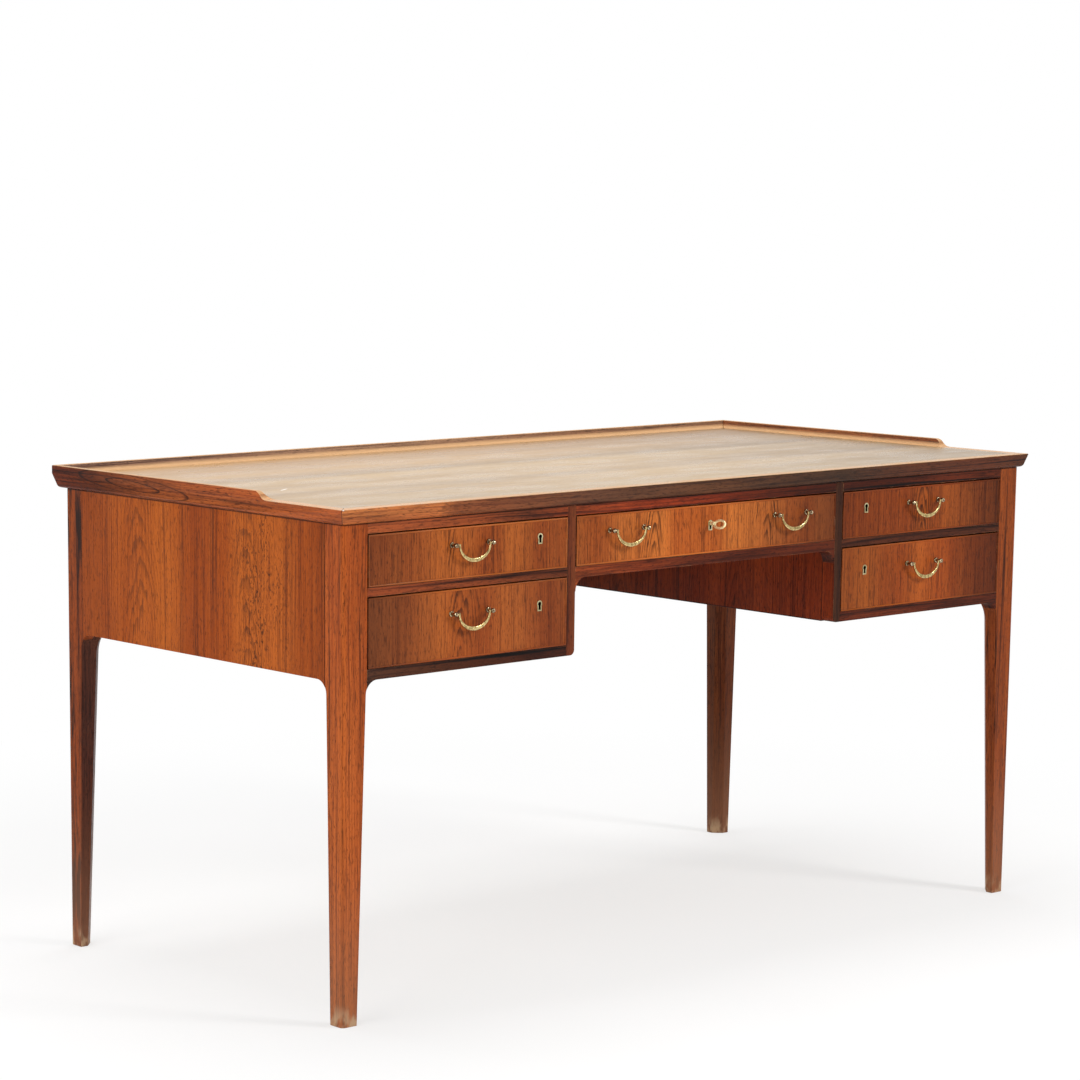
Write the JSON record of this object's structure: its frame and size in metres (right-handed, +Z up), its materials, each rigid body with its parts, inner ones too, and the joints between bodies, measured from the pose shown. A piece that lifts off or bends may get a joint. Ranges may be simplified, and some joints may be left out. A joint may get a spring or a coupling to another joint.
{
  "type": "pedestal writing desk",
  "caption": "Freestanding wooden pedestal desk on tapered legs, with a gallery edge, beaded drawers, brass bail handles and a key in the centre lock.",
  "frame": {"origin": "on the floor, at the bottom centre of the whole desk", "axes": "+X along the desk to the right of a person facing the drawers, drawers face -Y, +Z up"},
  "size_m": [1.4392, 0.7074, 0.7374],
  "materials": {
    "rosewood_veneer": "satin",
    "solid_rosewood": "satin",
    "solid_rosewood_dark": "satin",
    "drawer_lining": "matt",
    "runner_beech": "matt",
    "handle_brass": "polished",
    "lock_brass": "aged",
    "key_brass": "aged",
    "bolt_steel": "brushed"
  },
  "bodies": {
    "carcass": {"back_panel": "rosewood_veneer", "drawer_runners": "runner_beech", "fixing_battens": "runner_beech", "front_bottom_rails": "solid_rosewood", "front_centre_rail": "solid_rosewood", "front_middle_rails": "solid_rosewood", "front_stile_left": "solid_rosewood", "front_stile_right": "solid_rosewood", "front_top_rails": "solid_rosewood", "leg_back_left": "solid_rosewood", "leg_back_right": "solid_rosewood", "leg_front_left": "solid_rosewood", "leg_front_right": "solid_rosewood", "pedestal_side_left": "rosewood_veneer", "pedestal_side_right": "rosewood_veneer", "runner_packers": "runner_beech", "side_panel_left": "rosewood_veneer", "side_panel_right": "rosewood_veneer", "top_edge_back": "solid_rosewood_dark", "top_edge_front": "solid_rosewood_dark", "top_edge_left": "solid_rosewood_dark", "top_edge_right": "solid_rosewood_dark", "top_panel": "rosewood_veneer"},
    "upper_left_drawer": {"upper_left_drawer_front": "rosewood_veneer", "upper_left_drawer_beads": "solid_rosewood_dark", "upper_left_drawer_box": "drawer_lining", "upper_left_drawer_posts": "handle_brass", "upper_left_drawer_lock": "lock_brass"},
    "upper_left_bail": {"upper_left_bail": "handle_brass"},
    "upper_left_lock_bolt": {"upper_left_lock_bolt": "bolt_steel"},
    "lower_left_drawer": {"lower_left_drawer_front": "rosewood_veneer", "lower_left_drawer_beads": "solid_rosewood_dark", "lower_left_drawer_box": "drawer_lining", "lower_left_drawer_posts": "handle_brass", "lower_left_drawer_lock": "lock_brass"},
    "lower_left_bail": {"lower_left_bail": "handle_brass"},
    "lower_left_lock_bolt": {"lower_left_lock_bolt": "bolt_steel"},
    "upper_right_drawer": {"upper_right_drawer_front": "rosewood_veneer", "upper_right_drawer_beads": "solid_rosewood_dark", "upper_right_drawer_box": "drawer_lining", "upper_right_drawer_posts": "handle_brass", "upper_right_drawer_lock": "lock_brass"},
    "upper_right_bail": {"upper_right_bail": "handle_brass"},
    "upper_right_lock_bolt": {"upper_right_lock_bolt": "bolt_steel"},
    "lower_right_drawer": {"lower_right_drawer_front": "rosewood_veneer", "lower_right_drawer_beads": "solid_rosewood_dark", "lower_right_drawer_box": "drawer_lining", "lower_right_drawer_posts": "handle_brass", "lower_right_drawer_lock": "lock_brass"},
    "lower_right_bail": {"lower_right_bail": "handle_brass"},
    "lower_right_lock_bolt": {"lower_right_lock_bolt": "bolt_steel"},
    "centre_drawer": {"centre_drawer_front": "rosewood_veneer", "centre_drawer_beads": "solid_rosewood_dark", "centre_drawer_box": "drawer_lining", "centre_drawer_posts": "handle_brass", "centre_drawer_lock": "lock_brass"},
    "centre_left_bail": {"centre_left_bail": "handle_brass"},
    "centre_right_bail": {"centre_right_bail": "handle_brass"},
    "centre_lock_bolt": {"centre_lock_bolt": "bolt_steel"},
    "key": {"key": "key_brass"}
  },
  "joints": [
    {"name": "upper_left_drawer_slide", "type": "slide", "parent": "carcass", "child": "upper_left_drawer", "axis": [0, -1, 0], "range_m": [0, 0.42]},
    {"name": "upper_left_bail_swing", "type": "hinge", "parent": "upper_left_drawer", "child": "upper_left_bail", "pos_m": [-0.4777, -0.33265, 0.66255], "axis": [-1, 0, 0], "range_deg": [-18, 195]},
    {"name": "upper_left_bolt_slide", "type": "slide", "parent": "upper_left_drawer", "child": "upper_left_lock_bolt", "axis": [0, 0, 1], "range_m": [0, 0.0068]},
    {"name": "lower_left_drawer_slide", "type": "slide", "parent": "carcass", "child": "lower_left_drawer", "axis": [0, -1, 0], "range_m": [0, 0.42]},
    {"name": "lower_left_bail_swing", "type": "hinge", "parent": "lower_left_drawer", "child": "lower_left_bail", "pos_m": [-0.4777, -0.33265, 0.56595], "axis": [-1, 0, 0], "range_deg": [-18, 195]},
    {"name": "lower_left_bolt_slide", "type": "slide", "parent": "lower_left_drawer", "child": "lower_left_lock_bolt", "axis": [0, 0, 1], "range_m": [0, 0.0068]},
    {"name": "upper_right_drawer_slide", "type": "slide", "parent": "carcass", "child": "upper_right_drawer", "axis": [0, -1, 0], "range_m": [0, 0.42]},
    {"name": "upper_right_bail_swing", "type": "hinge", "parent": "upper_right_drawer", "child": "upper_right_bail", "pos_m": [0.4777, -0.33265, 0.66255], "axis": [-1, 0, 0], "range_deg": [-18, 195]},
    {"name": "upper_right_bolt_slide", "type": "slide", "parent": "upper_right_drawer", "child": "upper_right_lock_bolt", "axis": [0, 0, 1], "range_m": [0, 0.0068]},
    {"name": "lower_right_drawer_slide", "type": "slide", "parent": "carcass", "child": "lower_right_drawer", "axis": [0, -1, 0], "range_m": [0, 0.42]},
    {"name": "lower_right_bail_swing", "type": "hinge", "parent": "lower_right_drawer", "child": "lower_right_bail", "pos_m": [0.4777, -0.33265, 0.56595], "axis": [-1, 0, 0], "range_deg": [-18, 195]},
    {"name": "lower_right_bolt_slide", "type": "slide", "parent": "lower_right_drawer", "child": "lower_right_lock_bolt", "axis": [0, 0, 1], "range_m": [0, 0.0068]},
    {"name": "centre_drawer_slide", "type": "slide", "parent": "carcass", "child": "centre_drawer", "axis": [0, -1, 0], "range_m": [0, 0.42]},
    {"name": "centre_left_bail_swing", "type": "hinge", "parent": "centre_drawer", "child": "centre_left_bail", "pos_m": [-0.17306, -0.33265, 0.66255], "axis": [-1, 0, 0], "range_deg": [-18, 195]},
    {"name": "centre_right_bail_swing", "type": "hinge", "parent": "centre_drawer", "child": "centre_right_bail", "pos_m": [0.17306, -0.33265, 0.66255], "axis": [-1, 0, 0], "range_deg": [-18, 195]},
    {"name": "centre_bolt_slide", "type": "slide", "parent": "centre_drawer", "child": "centre_lock_bolt", "axis": [0, 0, 1], "range_m": [0, 0.0068]},
    {"name": "key_turn", "type": "hinge", "parent": "centre_drawer", "child": "key", "pos_m": [0, -0.32225, 0.6588], "axis": [0, 1, 0], "range_deg": [0, 90]}
  ],
  "couplings": [
    {"joint": "key_turn", "follows": "centre_bolt_slide", "rad_per_m": 231}
  ]
}
